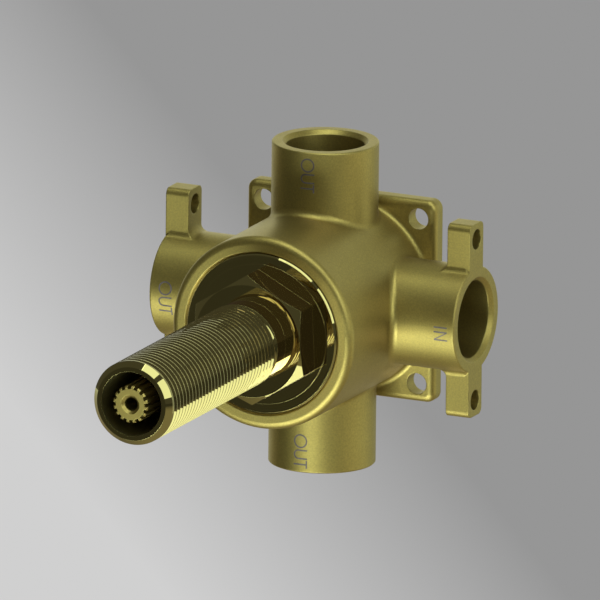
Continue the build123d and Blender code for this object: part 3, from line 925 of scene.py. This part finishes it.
threaded_bonnet = finished_mesh("threaded_bonnet", points, faces, polished_brass)
bonnet_mesh = threaded_bonnet.data
own_normals = [(0, 0, 0)] * len(bonnet_mesh.loops)
for loop in bonnet_mesh.loops:
    if loop.vertex_index in leans:
        own_normals[loop.index] = lean_normal(*leans[loop.vertex_index])
bonnet_mesh.normals_split_custom_set(own_normals)
print("points with their own normal:", len(leans))
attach(threaded_bonnet, "housing")
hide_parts("bonnet")

# %% [markdown]
# Marks beside the ports
#
# Each port says whether water comes in or goes out. The words are generic, like ON and OFF on a
# switch, and they are etched as thin plain strokes that read downwards. Each stroke is a strip
# laid on the port's cylinder, a few hundredths of a millimetre proud, so it follows the curve.

# %% Define the strokes of the letters
cap_height = 3.5
stroke_width = 0.36
half_stroke = stroke_width / 2
fine_step = 0.4


def straight_strip(start, end):
    """The two sides of a straight stroke, as points along it."""
    length = math.dist(start, end)
    along_x = (end[0] - start[0]) / length
    along_y = (end[1] - start[1]) / length
    count = max(2, math.ceil(length / fine_step) + 1)
    sides = ([], [])
    for number in range(count):
        share = number / (count - 1)
        middle = (start[0] + (end[0] - start[0]) * share, start[1] + (end[1] - start[1]) * share)
        sides[0].append((middle[0] - along_y * half_stroke, middle[1] + along_x * half_stroke))
        sides[1].append((middle[0] + along_y * half_stroke, middle[1] - along_x * half_stroke))
    return sides


def arc_strip(centre, radius, start, end, count):
    """The two sides of a curved stroke. Angles in degrees."""
    sides = ([], [])
    for number in range(count):
        angle = math.radians(start + (end - start) * number / (count - 1))
        for side, reach in zip(sides, (radius + half_stroke, radius - half_stroke)):
            side.append((centre[0] + reach * math.cos(angle), centre[1] + reach * math.sin(angle)))
    return sides


print("stroke helpers ready")

# %% Define the letters
circle_points = 49
bowl_points = 17
slant_points = 8
# The height of the slanting stroke of an N, measured upright, in stroke widths
slant_share = 1.45


def letter_o(left):
    """A round O."""
    radius = (cap_height - stroke_width) / 2
    middle = (left + cap_height / 2, cap_height / 2)
    return [arc_strip(middle, radius, 0, 360, circle_points)], cap_height


def letter_u(left, width=2.45):
    """Two legs and a half circle, as one strip."""
    radius = (width - stroke_width) / 2
    middle = left + width / 2
    low = radius + half_stroke
    left_leg = straight_strip((left + half_stroke, cap_height), (left + half_stroke, low))
    bowl = arc_strip((middle, low), radius, 180, 360, bowl_points)
    right_leg = straight_strip((left + width - half_stroke, low), (left + width - half_stroke, cap_height))
    outer = left_leg[1] + bowl[0][1:-1] + right_leg[1]
    inner = left_leg[0] + bowl[1][1:-1] + right_leg[0]
    return [(outer, inner)], width


def letter_t(left, width=2.0):
    """A bar and a stem that stops under it."""
    middle = left + width / 2
    bar = straight_strip((left, cap_height - half_stroke), (left + width, cap_height - half_stroke))
    stem = straight_strip((middle, 0), (middle, cap_height - stroke_width))
    return [bar, stem], width


def letter_i(left):
    """One stroke."""
    return [straight_strip((left + half_stroke, 0), (left + half_stroke, cap_height))], stroke_width


def letter_n(left, width=2.4):
    """Two stems and a slanting stroke cut to meet them."""
    stems = [straight_strip((place, 0), (place, cap_height))
             for place in (left + half_stroke, left + width - half_stroke)]
    inner_width = width - 2 * stroke_width
    slant_height = stroke_width * slant_share
    upper, lower = [], []
    for number in range(slant_points):
        share = number / (slant_points - 1)
        place = left + stroke_width + inner_width * share
        top = cap_height + (slant_height - cap_height) * share
        upper.append((place, top))
        lower.append((place, top - slant_height))
    return stems + [(upper, lower)], width


letter_shapes = {"O": letter_o, "U": letter_u, "T": letter_t, "I": letter_i, "N": letter_n}
letter_gaps = {"OU": 0.35, "UT": 0.25, "IN": 0.8}


def word_strips(word):
    """All strips of a word, centred on zero both ways."""
    strips = []
    left = 0
    for place, letter in enumerate(word):
        if place:
            left += letter_gaps[word[place - 1] + letter]
        shapes, width = letter_shapes[letter](left)
        strips += shapes
        left += width
    return [[[(x - left / 2, y - cap_height / 2) for x, y in side] for side in strip] for strip in strips]


print("strips in OUT:", len(word_strips("OUT")), "in IN:", len(word_strips("IN")))

# %% Define the etched mark's finish
mark_depth = 0.005
mark_material, mark_tree, mark_shader = new_material("etched_mark")
mark_grain = effect(mark_tree, grain_group, Grain_Size=0.15, Roughness=0.55, Roughness_Spread=0.15)
mark_tones = effect(mark_tree, drift_group, Color=tone(150, 148, 146), Aged_Color=tone(112, 108, 98),
                    Amount=0.6, Patch_Size=1.5)
mark_normal = bumped(mark_tree, mark_depth, mark_grain.outputs["Height"])
dress(mark_tree, mark_shader, mark_tones.outputs["Color"], mark_grain.outputs["Roughness"], mark_normal)
mark_shader.inputs["Metallic"].default_value = 0.6
print("finish:", mark_material.name)

# %% Lay the words on the ports
port_r = 13.0
mark_proud = 0.03
mark_sunk = 0.05


def on_upright_port(reading, rising, radius, centre_x, centre_z):
    """A letter point on the top or bottom port: reading goes down, rising goes round towards +X."""
    angle = math.asin(centre_x / port_r) + rising / port_r
    return (radius * math.sin(angle) * mm, (ports_axis_y - radius * math.cos(angle)) * mm,
            (centre_z - reading) * mm)


def on_level_port(reading, rising, radius, centre_x, centre_z):
    """A letter point on the left or right port: reading goes round downwards, rising goes to +X."""
    angle = math.asin(centre_z / port_r) - reading / port_r
    return ((centre_x + rising) * mm, (ports_axis_y - radius * math.cos(angle)) * mm,
            radius * math.sin(angle) * mm)


def lay_word(name, word, place_point, centre_x, centre_z):
    """A word as thin closed strips on a port, riding with the housing."""
    word_points, word_faces = [], []
    for outer, inner in word_strips(word):
        closed = math.dist(outer[0], outer[-1]) < same_place
        count = len(outer) - 1 if closed else len(outer)
        first = len(word_points)
        for place in range(count):
            for side, radius in ((outer, port_r + mark_proud), (inner, port_r + mark_proud),
                                 (inner, port_r - mark_sunk), (outer, port_r - mark_sunk)):
                word_points.append(place_point(*side[place], radius, centre_x, centre_z))
        for place in range(count if closed else count - 1):
            here = first + 4 * place
            there = first + 4 * ((place + 1) % count)
            for side in range(4):
                following = (side + 1) % 4
                word_faces.append((here + side, here + following, there + following, there + side))
        if not closed:
            last = first + 4 * (count - 1)
            word_faces.append(tuple(first + side for side in range(4)))
            word_faces.append(tuple(last + side for side in (3, 2, 1, 0)))
    piece = finished_mesh(name, word_points, word_faces, mark_material)
    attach(piece, "housing")
    return piece


marks = [
    lay_word("mark_top_out", "OUT", on_upright_port, 1.2, 34.3),
    lay_word("mark_bottom_out", "OUT", on_upright_port, 0.2, -34.7),
    lay_word("mark_left_out", "OUT", on_level_port, -36.3, -0.9),
    lay_word("mark_right_in", "IN", on_level_port, 37.0, -1.0),
]
print("marks:", [mark.name for mark in marks])
